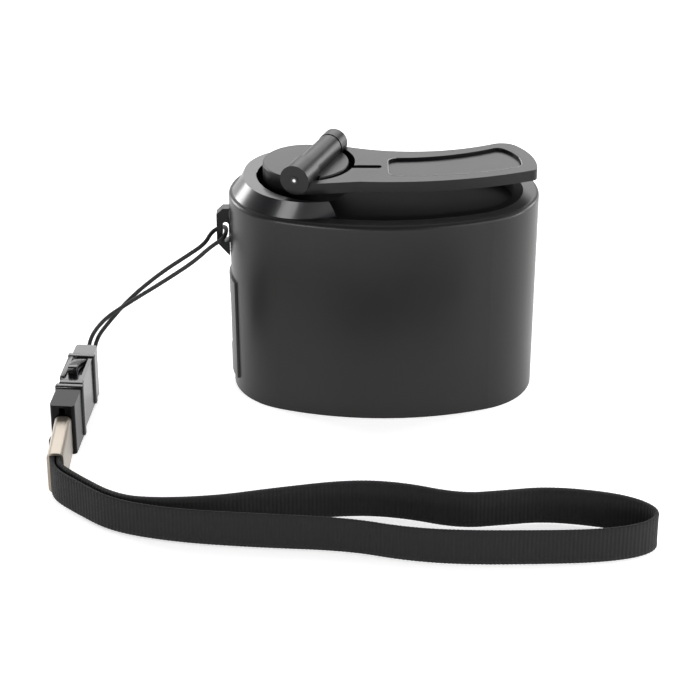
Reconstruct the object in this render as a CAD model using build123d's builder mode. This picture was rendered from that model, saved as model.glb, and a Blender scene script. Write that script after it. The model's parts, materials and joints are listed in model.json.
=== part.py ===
from build123d import *
import os
from math import atan2, cos, degrees, pi, radians, sin, sqrt, tan

# Hand crank phone charger with a folding crank arm and a wrist strap.
# Origin: centre of the flat base. +X towards the arm's tip, +Y to the back, +Z up. Millimetres.

# ---------------------------------------------------------------- driving sizes
# housing
base_half_width = 32.5
base_half_depth = 19.1
base_end_radius = 16.0
wall_lean = 0.4            # how far the wall leans out between the base and the deck
shell_height = 45.2
shell_wall = 1.8
shoulder_radius = 1.0
deck_inset = 3.4           # from the outline to the seam between shell and cap
fit_gap = 0.1              # between parts that drop into each other
touch_gap = 0.05           # round a pin or bush that is pressed home

# base cover and its screws
cover_thickness = 2.4
screw_radius = 1.0
screw_head_radius = 1.9
screw_head_height = 1.3
screw_reach = 12.0
boss_x = 5.0
boss_from_edge = 5.3       # from the widest point of the outline in to the screw bosses
boss_radius = 2.4
boss_step_radius = 2.8

# cap
cap_flange_width = 1.3     # how far the flange reaches under the shell's deck
cap_flange_thickness = 1.8
cap_rim_width = 2.0
pan_depth = 2.2            # from the deck down to the pan's floor
pan_thickness = 1.6
hub_post_radius = 5.0

# collar, a C round the hub
collar_rise = 3.5
collar_base_radius = 15.6
collar_top_radius = 14.3
collar_top_shift = Vector(1.1, -0.6, 0)
collar_bore_radius = 14.5
collar_bore_shift = Vector(4.0, 0.1, 0)
collar_front_end = 303.0
collar_back_end = 62.0
collar_split = 178.0
back_rim_radius = 11.9
back_rim_base_radius = 15.0
back_rim_shift = Vector(-1.2, 1.3, 0)
back_rim_bore_radius = 10.3

# crank hub and its shaft
hub_radius = 9.1
hub_rise = 6.3             # from the deck up to the disc's top
hub_floor_gap = 0.4
hub_shaft_radius = 2.0
hub_shaft_seat = 4.0
running_gap = 0.05
bush_wall = 1.5
hub_rounding = 0.3
clip_thickness = 0.6
clip_groove_radius = 1.6
clip_radius = 3.4

# folding hinge: a barrel across the top of the hub
hinge_turn = -21.8         # turn of the barrel about the hub, degrees
hinge_offset = 2.5
hinge_rise = 0.9           # from the disc's top up to the barrel's axis
barrel_front = -12.0
barrel_front_split = -6.1
barrel_back_split = 7.1
barrel_back = 10.4
front_knuckle_radius = 3.2
middle_knuckle_radius = 2.7
back_knuckle_radius = 2.8
knuckle_gap = 0.15
knuckle_clearance = 0.35
hinge_pin_radius = 0.8
pin_proud = 0.15
web_width = 4.2

# crank arm
arm_thickness = 2.4
arm_end_inset = 0.9
arm_cutout_gap = 1.3
arm_front_y = -10.6
arm_back_y = 5.1
arm_bow_x = 7.0
arm_tip_y = -4.4
arm_end_slant = 6.0
arm_back_corner_y = 10.6
arm_end_bow = 1.0
front_ear_shift = 1.2      # from the hinge's axis to the arm's outline
front_ear_inset = 0.5
arm_end_bow_y = 3.6
arm_front_line_end = -5.0
arm_tip_radius = 1.6
arm_back_radius = 4.0
arm_slot_length = 5.6
arm_slot_width = 1.5
arm_slot_y = -2.9
pad_margin = 3.2
pad_depth = 0.6
pad_start_x = 0.8
pad_corner_radius = 1.8
pad_bow = 0.2

# gear train: module and teeth
gear_module = 0.5
crank_teeth = 48
pinion_teeth = 12
wheel_a_teeth = 32
wheel_b_teeth = 26
rotor_teeth = 10
pressure_angle = radians(20)
tooth_backlash = 0.1
addendum = 0.8
dedendum = 1.15
gear_width = 3.0
gear_step = 0.6
gear_top_gap = 0.8
axle_radius = 0.75
spacer_radius = 1.6
end_play = 0.3
train_reach = 33.0         # from the hub's axis to the generator's

# gear plate
plate_gap = 1.5            # under the lowest wheel
plate_thickness = 2.0
plate_clearance = 0.3
washer_width = 0.7
washer_thickness = 0.6

# generator
can_radius = 11.0
can_height = 14.0
can_wall = 0.9
end_cap_thickness = 2.0
rotor_radius = 5.0
rotor_length = 7.5
stator_gap = 0.5
stator_length = 9.0
yoke_width = 1.4
pole_count = 6
pole_width = 1.8
coil_width = 0.8
coil_gap = 0.6
rotor_bush_radius = 2.2
can_screw_circle = 7.0
can_screw_radius = 0.8

# port panel, socket and circuit board on the left end
panel_low = 3.0
panel_over_lamp = 2.0
panel_half_width = 6.5
panel_proud = 0.45
port_under_lamp = 9.0
port_width = 5.7
port_length = 13.1
port_depth = 14.0
port_sheet = 0.35
tongue_thickness = 1.84
tongue_length = 8.4
tongue_width = 11.1
tongue_root = 2.6
tongue_offset = 0.9
lamp_radius = 1.0
lamp_under_plate = 2.9
board_thickness = 1.6
board_under_plate = 1.9
board_right = 3.0
board_end_gap = 0.5
rib_reach = 6.0            # from the hub's axis out to the ribs
rib_length = 8.0
rib_height = 3.0
rib_thickness = 1.2
capacitor_radius = 4.0
capacitor_length = 10.0
capacitor_rounding = 0.4
choke_radius = 3.2
choke_length = 4.5
choke_core_radius = 1.6
capacitor_x = -9.0
capacitor_from_top = 6.0   # below the board's upper edge
choke_x = -1.4
choke_from_cover = 6.6     # above the cover's inner face
chip_length = 5.0
chip_thickness = 1.5
terminal_radius = 0.4
terminal_spacing = 5.0

# strap lug on the left end
lug_top_depth = 4.2        # below the deck
lug_height = 11.1
lug_reach = 2.7
lug_thickness = 2.4
lug_eye_width = 1.3
lug_eye_height = 4.6
lug_tenon = 1.4

# cord between the lug and the buckle
cord_radius = 0.45
cord_pitch = 0.65          # between the cord and the buckle's middle plane
cord_lead = 3.2
cord_bend_limit = 20.0

# buckle, crimp and webbing
buckle_x = -64.0
buckle_y = -7.0
buckle_turn = 5.5          # degrees from the -Y direction
buckle_width = 11.4
socket_length = 17.6
socket_thickness = 4.6
socket_wall = 0.8
socket_end_wall = 5.0
window_start = 6.0
window_end = 13.6
plug_gap = 0.4
plug_length = 9.0
plug_thickness = 5.2
plug_tongue_height = 2.7
bridge_thickness = 1.0
socket_rounding = 0.8
release_arm_thickness = 1.5
release_arm_width = 2.4
release_root_radius = 1.0
release_root_inset = 0.2
release_root_height = 3.4
release_catch_height = 5.3
release_arm_gap = 0.4
tab_reach = 4.0
tab_end = 30.2
crimp_x = -66.4
crimp_near_y = -49.5
crimp_length = 15.0
crimp_width = 9.3
crimp_wall = 0.55
webbing_width = 8.0
webbing_thickness = 1.0
webbing_ply_gap = 0.15
ply_reach = 9.0
ply_lead = 1.0             # straight webbing in front of the crimp
ply_drift = 0.08           # sideways over that lead
strap_steps = 120

# ---------------------------------------------------------------- sizes that follow
top_half_width = base_half_width + wall_lean
hub_x = -(base_half_width - base_end_radius)
pan_floor_height = shell_height - pan_depth
collar_top_height = shell_height + collar_rise
hub_top_height = shell_height + hub_rise
hinge_height = hub_top_height + hinge_rise
boss_y = base_half_depth - boss_from_edge
lug_high = shell_height - lug_top_depth
lug_low = lug_high - lug_height
generator_x = hub_x + train_reach
deck_thickness = shell_wall
deck_underside = shell_height - deck_thickness
pan_underside = pan_floor_height - pan_thickness
crank_gear_top = pan_underside - gear_top_gap
level_pitch = gear_width + gear_step
wheel_a_top = crank_gear_top - level_pitch
wheel_b_top = wheel_a_top - level_pitch
plate_top = wheel_b_top - gear_width - plate_gap
plate_underside = plate_top - plate_thickness
can_top = plate_underside
can_floor = can_top - can_height
lamp_height = plate_underside - lamp_under_plate
port_height = lamp_height - port_under_lamp
panel_high = lamp_height + panel_over_lamp
board_high = plate_underside - board_under_plate
capacitor_height = board_high - capacitor_from_top
choke_height = cover_thickness + choke_from_cover
arm_top_height = hub_top_height
arm_underside = arm_top_height - arm_thickness

crank_pitch = gear_module * crank_teeth / 2
pinion_pitch = gear_module * pinion_teeth / 2
wheel_a_pitch = gear_module * wheel_a_teeth / 2
wheel_b_pitch = gear_module * wheel_b_teeth / 2
rotor_pitch = gear_module * rotor_teeth / 2

axle_a = Vector(hub_x + crank_pitch + pinion_pitch, 0, 0)
reach_ab = wheel_a_pitch + pinion_pitch
reach_bg = wheel_b_pitch + rotor_pitch
span_ag = generator_x - axle_a.X
along_ag = (reach_ab**2 - reach_bg**2 + span_ag**2) / (2 * span_ag)
axle_b = Vector(axle_a.X + along_ag, sqrt(reach_ab**2 - along_ag**2), 0)
generator = Vector(generator_x, 0, 0)
hub_centre = Vector(hub_x, 0, 0)

hinge_across = Vector(cos(radians(hinge_turn)), sin(radians(hinge_turn)), 0)
hinge_foot = hub_centre + hinge_across * hinge_offset + Vector(0, 0, hinge_height)
hinge_plane = Plane(origin=hinge_foot, x_dir=hinge_across, z_dir=(0, 0, 1))
buckle_ahead = Vector(-sin(radians(buckle_turn)), -cos(radians(buckle_turn)), 0)
buckle_across = Vector(cos(radians(buckle_turn)), -sin(radians(buckle_turn)), 0)
buckle_plane = Plane(origin=(buckle_x, buckle_y, buckle_width / 2), x_dir=buckle_ahead, z_dir=(0, 0, 1))


# ---------------------------------------------------------------- helpers
def oval(half_width, half_depth, end_radius):
    """Four-centred oval: two end arcs joined by two flatter arcs, tangent to each other."""
    flat_radius = (half_width - end_radius) ** 2 + half_depth**2 - end_radius**2
    flat_radius = flat_radius / (2 * (half_depth - end_radius))
    lean = atan2(flat_radius - half_depth, half_width - end_radius)
    joint_x = half_width - end_radius + end_radius * cos(lean)
    joint_y = end_radius * sin(lean)
    with BuildSketch() as shape:
        with BuildLine():
            ThreePointArc((joint_x, -joint_y), (half_width, 0), (joint_x, joint_y))
            ThreePointArc((joint_x, joint_y), (0, half_depth), (-joint_x, joint_y))
            ThreePointArc((-joint_x, joint_y), (-half_width, 0), (-joint_x, -joint_y))
            ThreePointArc((-joint_x, -joint_y), (0, -half_depth), (joint_x, -joint_y))
        make_face()
    return shape.sketch


def inset_oval(inset, lean=0.0):
    """The base outline moved in by inset and out by lean."""
    grow = lean - inset
    return oval(base_half_width + grow, base_half_depth + grow, base_end_radius + grow)


def lean_at(height):
    return wall_lean * height / shell_height


def gear_face(teeth):
    """Involute gear outline with a tooth centred on +X."""
    pitch_radius = gear_module * teeth / 2
    base_radius = pitch_radius * cos(pressure_angle)
    tip_radius = pitch_radius + addendum * gear_module
    root_radius = pitch_radius - dedendum * gear_module
    half_tooth = pi / (2 * teeth) - tooth_backlash / (2 * pitch_radius)

    def half_angle(radius):
        if radius <= base_radius:
            return half_tooth + tan(pressure_angle) - pressure_angle
        angle = pressure_angle_at(radius)
        return half_tooth + tan(pressure_angle) - pressure_angle - tan(angle) + angle

    def pressure_angle_at(radius):
        return atan2(sqrt(radius**2 - base_radius**2), base_radius)

    start_radius = max(root_radius, base_radius)
    flank = [start_radius + (tip_radius - start_radius) * step / 3 for step in range(4)]
    radii = [root_radius] + flank if root_radius < base_radius else flank
    points = []
    for tooth in range(teeth):
        middle = 2 * pi * tooth / teeth
        for radius in radii:
            points.append((radius, middle - half_angle(radius)))
        for radius in reversed(radii):
            points.append((radius, middle + half_angle(radius)))
    with BuildSketch() as shape:
        with BuildLine():
            Polyline(*[(r * cos(a), r * sin(a)) for r, a in points], close=True)
        make_face()
    return shape.sketch


def mesh_turn(own_teeth, mate_teeth, mate_turn, direction):
    """Turn, in degrees, that puts a gear's tooth space on its mate's tooth along direction."""
    mate_phase = (direction - mate_turn) * mate_teeth / 360
    return direction + 180 + (mate_phase - 0.5) * 360 / own_teeth


def direction_to(start, end):
    return degrees(atan2(end.Y - start.Y, end.X - start.X))


def export(builder, name):
    builder.part.label = name
    export_step(builder.part, f"parts/{name}.step")


def runs_and_radii(points):
    """Largest arc that each corner of a cord's route allows."""
    radii = []
    for before, corner, after in zip(points, points[1:], points[2:]):
        arriving = Vector(*corner) - Vector(*before)
        leaving = Vector(*after) - Vector(*corner)
        turn = radians(arriving.get_angle(leaving))
        radii.append(0.45 * min(arriving.length, leaving.length) / tan(turn / 2))
    return radii


os.makedirs("parts", exist_ok=True)

# ---------------------------------------------------------------- housing
with BuildPart() as body_shell:
    with BuildSketch():
        add(inset_oval(0))
    with BuildSketch(Plane.XY.offset(shell_height)):
        add(inset_oval(0, wall_lean))
    loft(ruled=True)
    top_edges = body_shell.faces().sort_by(Axis.Z)[-1].edges()
    fillet(top_edges, shoulder_radius)
    with BuildSketch():
        add(inset_oval(shell_wall))
    with BuildSketch(Plane.XY.offset(deck_underside)):
        add(inset_oval(shell_wall, wall_lean))
    loft(ruled=True, mode=Mode.SUBTRACT)
    with BuildSketch(Plane.XY.offset(deck_underside)):
        add(inset_oval(deck_inset, wall_lean))
    extrude(amount=shell_height, mode=Mode.SUBTRACT)
    with BuildSketch(Plane.YZ.offset(-base_half_width)):
        with Locations((0, port_height)):
            Rectangle(port_width + 2 * fit_gap, port_length + 2 * fit_gap)
        with Locations((0, lamp_height)):
            Circle(lamp_radius + fit_gap)
        with Locations((0, (lug_low + lug_high) / 2)):
            Rectangle(lug_thickness + 2 * touch_gap, lug_eye_height + 2 * touch_gap)
    extrude(amount=2 * shell_wall + lug_reach, both=True, mode=Mode.SUBTRACT)
export(body_shell, "body_shell")

with BuildPart() as base_cover:
    with BuildSketch():
        add(inset_oval(shell_wall + fit_gap))
    extrude(amount=cover_thickness)
    with Locations(Plane.XY.rotated((180, 0, 0))):
        with GridLocations(2 * boss_x, 2 * boss_y, 2, 2):
            CounterBoreHole(
                screw_radius + fit_gap, screw_head_radius + fit_gap, screw_head_height + fit_gap
            )
    rib_middle = hub_x - rib_reach
    for side in (-1, 1):
        face_y = port_width / 2 + board_thickness / 2 + side * (board_thickness / 2 + fit_gap)
        with Locations((rib_middle, face_y, cover_thickness)):
            Box(
                rib_length,
                rib_thickness,
                rib_height,
                align=(Align.CENTER, Align.MAX if side < 0 else Align.MIN, Align.MIN),
            )
export(base_cover, "base_cover")

with BuildPart() as base_screws:
    with GridLocations(2 * boss_x, 2 * boss_y, 2, 2):
        Cylinder(screw_head_radius, screw_head_height, align=(Align.CENTER, Align.CENTER, Align.MIN))
        Cylinder(screw_radius, screw_reach, align=(Align.CENTER, Align.CENTER, Align.MIN))
        Box(
            2 * screw_radius,
            screw_radius / 2,
            screw_head_height,
            align=(Align.CENTER, Align.CENTER, Align.CENTER),
            mode=Mode.SUBTRACT,
        )
        Box(
            screw_radius / 2,
            2 * screw_radius,
            screw_head_height,
            align=(Align.CENTER, Align.CENTER, Align.CENTER),
            mode=Mode.SUBTRACT,
        )
export(base_screws, "base_screws")

with BuildPart() as top_cap:
    with BuildSketch(Plane.XY.offset(pan_underside)):
        add(inset_oval(deck_inset + fit_gap, wall_lean))
    extrude(amount=shell_height - pan_underside)
    with BuildSketch(Plane.XY.offset(deck_underside - cap_flange_thickness)):
        add(inset_oval(deck_inset - cap_flange_width, wall_lean))
    extrude(amount=cap_flange_thickness)
    with BuildSketch(Plane.XY.offset(pan_floor_height)):
        add(inset_oval(deck_inset + cap_rim_width, wall_lean))
    extrude(amount=shell_height, mode=Mode.SUBTRACT)
    with Locations((hub_x, 0, pan_underside)):
        Cylinder(
            hub_post_radius,
            shell_height - pan_underside,
            align=(Align.CENTER, Align.CENTER, Align.MIN),
        )
    with BuildSketch(Plane.XY.offset(cover_thickness)):
        with GridLocations(2 * boss_x, 2 * boss_y, 2, 2):
            Circle(boss_radius)
    extrude(amount=pan_underside - cover_thickness)
    with BuildSketch(Plane.XY.offset(plate_top)):
        with GridLocations(2 * boss_x, 2 * boss_y, 2, 2):
            Circle(boss_step_radius)
    extrude(amount=pan_underside - plate_top)
    with BuildSketch(Plane.XY.offset(cover_thickness)):
        with GridLocations(2 * boss_x, 2 * boss_y, 2, 2):
            Circle(screw_radius + touch_gap)
    extrude(amount=screw_reach, mode=Mode.SUBTRACT)
    with Locations((hub_x, 0, shell_height)):
        Hole(hub_shaft_radius + running_gap + bush_wall + touch_gap)
    with Locations((axle_a.X, axle_a.Y, pan_underside), (axle_b.X, axle_b.Y, pan_underside)):
        Cylinder(axle_radius + touch_gap, pan_thickness, mode=Mode.SUBTRACT)
export(top_cap, "top_cap")


def circle_at(centre, radius, height):
    with BuildSketch(Plane.XY.offset(height)) as shape:
        with Locations((centre.X, centre.Y)):
            Circle(radius)
    return shape.sketch


def sector(start, end, height):
    """Wedge about the hub between two angles, wide enough to hold the whole collar."""
    reach = 3 * collar_base_radius
    steps = 6
    corners = [(hub_x, 0)]
    for step in range(steps + 1):
        angle = radians(start + (end - start) * step / steps)
        corners.append((hub_x + reach * cos(angle), reach * sin(angle)))
    with BuildPart(mode=Mode.PRIVATE) as wedge:
        with BuildSketch():
            with BuildLine():
                Polyline(*corners, close=True)
            make_face()
        extrude(amount=height)
    return wedge.part


with BuildPart() as collar_front:
    add(circle_at(hub_centre, collar_base_radius, shell_height))
    add(circle_at(hub_centre + collar_top_shift, collar_top_radius, collar_top_height))
    loft()
    add(circle_at(hub_centre + collar_bore_shift, collar_bore_radius, shell_height))
    extrude(amount=shell_height, mode=Mode.SUBTRACT)
    add(sector(collar_split, collar_front_end, 2 * shell_height), mode=Mode.INTERSECT)

with BuildPart() as collar:
    add(circle_at(hub_centre, back_rim_base_radius, shell_height))
    add(circle_at(hub_centre + back_rim_shift, back_rim_radius, collar_top_height))
    loft()
    add(circle_at(hub_centre, back_rim_bore_radius, shell_height))
    extrude(amount=shell_height, mode=Mode.SUBTRACT)
    add(sector(collar_back_end, collar_split, 2 * shell_height), mode=Mode.INTERSECT)
    add(collar_front.part)
export(collar, "collar")

# ---------------------------------------------------------------- strap lug
lug_middle = (lug_low + lug_high) / 2
lug_wall_x = -(base_half_width + lean_at(lug_high) + touch_gap)
lug_eye_x = lug_wall_x - lug_eye_width / 2 - fit_gap
with BuildPart() as strap_lug:
    with BuildSketch(Plane.XZ):
        with BuildLine():
            Line((lug_wall_x, lug_low), (lug_wall_x, lug_high))
            Line((lug_wall_x, lug_high), (lug_wall_x - lug_reach / 2, lug_high))
            Line((lug_wall_x - lug_reach / 2, lug_high), (lug_wall_x - lug_reach, lug_high - lug_reach / 2))
            Line(
                (lug_wall_x - lug_reach, lug_high - lug_reach / 2),
                (lug_wall_x - lug_reach, lug_middle - lug_eye_height / 2),
            )
            Line((lug_wall_x - lug_reach, lug_middle - lug_eye_height / 2), (lug_wall_x, lug_low))
        make_face()
        with Locations((lug_eye_x, lug_middle + fit_gap)):
            SlotOverall(lug_eye_height, lug_eye_width, rotation=90, mode=Mode.SUBTRACT)
    extrude(amount=lug_thickness / 2, both=True)
    with Locations((lug_wall_x + lug_tenon / 2, 0, lug_middle)):
        Box(lug_tenon, lug_thickness, lug_eye_height)
export(strap_lug, "strap_lug")

# ---------------------------------------------------------------- crank hub
bush_low = crank_gear_top + gear_step
with BuildPart() as hub_bush:
    with Locations((hub_x, 0, bush_low)):
        Cylinder(
            hub_shaft_radius + running_gap + bush_wall,
            shell_height - bush_low,
            align=(Align.CENTER, Align.CENTER, Align.MIN),
        )
        Cylinder(
            hub_shaft_radius + running_gap,
            shell_height - bush_low,
            align=(Align.CENTER, Align.CENTER, Align.MIN),
            mode=Mode.SUBTRACT,
        )
export(hub_bush, "hub_bush")

hub_floor = shell_height + hub_floor_gap


def barrel(radius, start, end, mode=Mode.ADD):
    """Cylinder along the hinge axis between two distances from the hub's own line."""
    with Locations(hinge_plane):
        with Locations((0, (start + end) / 2, 0)):
            Cylinder(radius, abs(end - start), rotation=(90, 0, 0), mode=mode)


with BuildPart() as crank_hub:
    with Locations((hub_x, 0, hub_floor)):
        Cylinder(
            hub_radius,
            hub_top_height - hub_floor,
            align=(Align.CENTER, Align.CENTER, Align.MIN),
        )
    fillet(crank_hub.faces().sort_by(Axis.Z)[-1].edges(), hub_rounding)
    barrel(front_knuckle_radius + knuckle_clearance, 2 * barrel_front, barrel_front_split, Mode.SUBTRACT)
    barrel(back_knuckle_radius + knuckle_clearance, barrel_back_split, 2 * barrel_back, Mode.SUBTRACT)
    barrel(middle_knuckle_radius, barrel_front_split + knuckle_gap, barrel_back_split - knuckle_gap)
    with BuildSketch(Plane(origin=hinge_foot, x_dir=hinge_across, z_dir=hinge_plane.y_dir)):
        with BuildLine():
            Polyline(
                (0, middle_knuckle_radius / 2),
                (web_width, hinge_height - hub_top_height),
                (web_width, hinge_height - hub_top_height + middle_knuckle_radius / 2),
                (0, middle_knuckle_radius),
                close=True,
            )
        make_face()
    extrude(amount=barrel_front_split + 3 * knuckle_gap)
    barrel(hinge_pin_radius + running_gap, 2 * barrel_front, 2 * barrel_back, Mode.SUBTRACT)
    with Locations((hub_x, 0, hub_floor)):
        Cylinder(
            hub_shaft_radius,
            hub_shaft_seat,
            align=(Align.CENTER, Align.CENTER, Align.MIN),
            mode=Mode.SUBTRACT,
        )
export(crank_hub, "crank_hub")

groove_low = crank_gear_top - gear_width - clip_thickness
with BuildPart() as hub_shaft:
    with Locations((hub_x, 0, plate_underside)):
        Cylinder(
            hub_shaft_radius,
            hub_floor + hub_shaft_seat - plate_underside,
            align=(Align.CENTER, Align.CENTER, Align.MIN),
        )
    with BuildSketch(Plane.XY.offset(groove_low)):
        with Locations((hub_x, 0)):
            Circle(2 * hub_shaft_radius)
            Circle(clip_groove_radius, mode=Mode.SUBTRACT)
    extrude(amount=clip_thickness, mode=Mode.SUBTRACT)
export(hub_shaft, "hub_shaft")

with BuildPart() as hub_clip:
    with BuildSketch(Plane.XY.offset(groove_low)):
        with Locations((hub_x, 0)):
            Circle(clip_radius)
            Circle(clip_groove_radius, mode=Mode.SUBTRACT)
        with Locations((hub_x + clip_radius, 0)):
            Rectangle(2 * clip_radius, clip_groove_radius, mode=Mode.SUBTRACT)
    extrude(amount=clip_thickness)
export(hub_clip, "hub_clip")

with BuildPart() as crank_gear:
    with BuildSketch(Plane.XY.offset(crank_gear_top - gear_width)):
        with Locations((hub_x, 0)):
            add(gear_face(crank_teeth))
            Circle(hub_shaft_radius, mode=Mode.SUBTRACT)
    extrude(amount=gear_width)
export(crank_gear, "crank_gear")

# ---------------------------------------------------------------- crank arm
arm_tip_x = top_half_width - arm_end_inset
ear_along = hinge_plane.y_dir * (barrel_front + front_ear_inset)
front_ear = hinge_foot + hinge_across * front_ear_shift + ear_along
back_ear = hinge_foot + hinge_plane.y_dir * barrel_back
arm_tip_corner = (arm_tip_x, arm_tip_y)
arm_back_corner = (arm_tip_x - arm_end_slant, arm_back_corner_y)


def arm_outline():
    with BuildSketch() as shape:
        with BuildLine():
            Line((front_ear.X, front_ear.Y), (arm_front_line_end, arm_front_y))
            ThreePointArc((arm_front_line_end, arm_front_y), (arm_bow_x, arm_front_y), arm_tip_corner)
            ThreePointArc(arm_tip_corner, (arm_tip_x - arm_end_bow, arm_end_bow_y), arm_back_corner)
            ThreePointArc(arm_back_corner, (arm_bow_x, arm_back_y), (back_ear.X, back_ear.Y))
            Line((back_ear.X, back_ear.Y), (front_ear.X, front_ear.Y))
        make_face()
        fillet(shape.vertices().sort_by(Axis.X)[-1], arm_tip_radius)
        fillet(shape.vertices().sort_by(Axis.Y)[-1], arm_back_radius)
    return shape.sketch


def pad_outline():
    """The thumb pad keeps its margin from the arm's front, back and end."""
    low_y = arm_front_y + pad_margin
    high_y = arm_back_y - pad_margin
    tip = (arm_tip_x - pad_margin, arm_tip_y + pad_margin / 2)
    end = (arm_tip_x - arm_end_bow - pad_margin, arm_end_bow_y)
    back = (arm_tip_x - arm_end_slant - pad_margin / 2, arm_back_corner_y - pad_margin)
    with BuildSketch() as shape:
        with BuildLine():
            ThreePointArc((pad_start_x, low_y), (arm_bow_x, low_y - pad_bow), tip)
            ThreePointArc(tip, end, back)
            ThreePointArc(back, (arm_bow_x, high_y), (pad_start_x, high_y - pad_bow))
            Line((pad_start_x, high_y - pad_bow), (pad_start_x, low_y))
        make_face()
        fillet(shape.vertices(), pad_corner_radius)
    return shape.sketch


with BuildPart() as crank_arm:
    with BuildSketch(Plane.XY.offset(arm_underside)):
        add(arm_outline())
        with Locations((hub_x, 0)):
            Circle(hub_radius + arm_cutout_gap, mode=Mode.SUBTRACT)
        slot_start = hub_x + hub_radius + arm_cutout_gap
        with Locations((slot_start + arm_slot_length / 2 - arm_slot_width, arm_slot_y)):
            SlotOverall(arm_slot_length + 2 * arm_slot_width, arm_slot_width, mode=Mode.SUBTRACT)
    extrude(amount=arm_thickness)
    with BuildSketch(Plane.XY.offset(arm_top_height)):
        add(pad_outline())
    extrude(amount=-pad_depth, mode=Mode.SUBTRACT)
    barrel(front_knuckle_radius, barrel_front, barrel_front_split - knuckle_gap)
    barrel(back_knuckle_radius, barrel_back_split + knuckle_gap, barrel_back)
    barrel(hinge_pin_radius, 2 * barrel_front, 2 * barrel_back, Mode.SUBTRACT)
export(crank_arm, "crank_arm")

with BuildPart() as hinge_pin:
    barrel(hinge_pin_radius, barrel_front - pin_proud, barrel_back - back_knuckle_radius / 2)
export(hinge_pin, "hinge_pin")

# ---------------------------------------------------------------- gear train
def compound_gear(centre, wheel_teeth, wheel_turn, wheel_top, pinion_turn):
    """A wheel with a pinion above it, on one plain bore, with spacers at both ends."""
    with BuildPart() as gear:
        with BuildSketch(Plane.XY.offset(plate_top + end_play)):
            with Locations((centre.X, centre.Y)):
                Circle(spacer_radius)
        extrude(amount=pan_underside - plate_top - 2 * end_play)
        with BuildSketch(Plane.XY.offset(wheel_top - gear_width)):
            with Locations(Location((centre.X, centre.Y, 0), (0, 0, wheel_turn))):
                add(gear_face(wheel_teeth))
        extrude(amount=gear_width)
        with BuildSketch(Plane.XY.offset(wheel_top)):
            with Locations(Location((centre.X, centre.Y, 0), (0, 0, pinion_turn))):
                add(gear_face(pinion_teeth))
        extrude(amount=level_pitch)
        with BuildSketch(Plane.XY.offset(plate_top)):
            with Locations((centre.X, centre.Y)):
                Circle(axle_radius + running_gap)
        extrude(amount=pan_underside - plate_top, mode=Mode.SUBTRACT)
    return gear


pinion_a_turn = mesh_turn(pinion_teeth, crank_teeth, 0, direction_to(hub_centre, axle_a))
compound_gear_a = compound_gear(axle_a, wheel_a_teeth, 0, wheel_a_top, pinion_a_turn)
export(compound_gear_a, "compound_gear_a")

pinion_b_turn = mesh_turn(pinion_teeth, wheel_a_teeth, 0, direction_to(axle_a, axle_b))
compound_gear_b = compound_gear(axle_b, wheel_b_teeth, 0, wheel_b_top, pinion_b_turn)
export(compound_gear_b, "compound_gear_b")

for axle_name, centre in (("axle_a", axle_a), ("axle_b", axle_b)):
    with BuildPart() as axle:
        with BuildSketch(Plane.XY.offset(plate_underside)):
            with Locations((centre.X, centre.Y)):
                Circle(axle_radius)
        extrude(amount=pan_underside + pan_thickness / 2 - touch_gap - plate_underside)
    export(axle, axle_name)

with BuildPart() as gear_plate:
    with BuildSketch(Plane.XY.offset(plate_underside)):
        add(inset_oval(shell_wall + plate_clearance))
        with Locations((hub_x, 0)):
            Circle(hub_shaft_radius + running_gap, mode=Mode.SUBTRACT)
        with Locations((axle_a.X, axle_a.Y), (axle_b.X, axle_b.Y)):
            Circle(axle_radius + touch_gap, mode=Mode.SUBTRACT)
        with GridLocations(2 * boss_x, 2 * boss_y, 2, 2):
            Circle(boss_radius + touch_gap, mode=Mode.SUBTRACT)
        with Locations((generator.X, generator.Y)):
            Circle(rotor_bush_radius + fit_gap, mode=Mode.SUBTRACT)
            with PolarLocations(can_screw_circle, 2, start_angle=90):
                Circle(can_screw_radius + fit_gap, mode=Mode.SUBTRACT)
    extrude(amount=plate_thickness)
export(gear_plate, "gear_plate")

with BuildPart() as plate_washers:
    with BuildSketch(Plane.XY.offset(plate_underside - washer_thickness)):
        with GridLocations(2 * boss_x, 2 * boss_y, 2, 2):
            Circle(boss_radius + washer_width)
            Circle(boss_radius, mode=Mode.SUBTRACT)
        add(inset_oval(shell_wall + plate_clearance), mode=Mode.INTERSECT)
        with Locations((generator.X, generator.Y)):
            Circle(can_radius + fit_gap, mode=Mode.SUBTRACT)
    extrude(amount=washer_thickness)
export(plate_washers, "plate_washers")


# ---------------------------------------------------------------- generator
def tube(centre, outer, inner, low, high, mode=Mode.ADD):
    with BuildSketch(Plane.XY.offset(low)) as ring:
        with Locations((centre.X, centre.Y)):
            Circle(outer)
            if inner > 0:
                Circle(inner, mode=Mode.SUBTRACT)
    extrude(ring.sketch, amount=high - low, mode=mode)


with BuildPart() as generator_can:
    tube(generator, can_radius, 0, can_floor, can_top)
    tube(generator, can_radius - can_wall, 0, can_floor + can_wall, can_top, Mode.SUBTRACT)
    tube(generator, rotor_bush_radius + touch_gap, 0, can_floor, can_top, Mode.SUBTRACT)
export(generator_can, "generator_can")

with BuildPart() as generator_cover:
    tube(
        generator,
        can_radius - can_wall - touch_gap,
        rotor_bush_radius + touch_gap,
        can_top - end_cap_thickness,
        can_top,
    )
    with BuildSketch(Plane.XY.offset(can_top - end_cap_thickness)):
        with Locations((generator.X, generator.Y)):
            with PolarLocations(can_screw_circle, 2, start_angle=90):
                Circle(can_screw_radius + touch_gap)
    extrude(amount=end_cap_thickness, mode=Mode.SUBTRACT)
export(generator_cover, "generator_cover")

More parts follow.
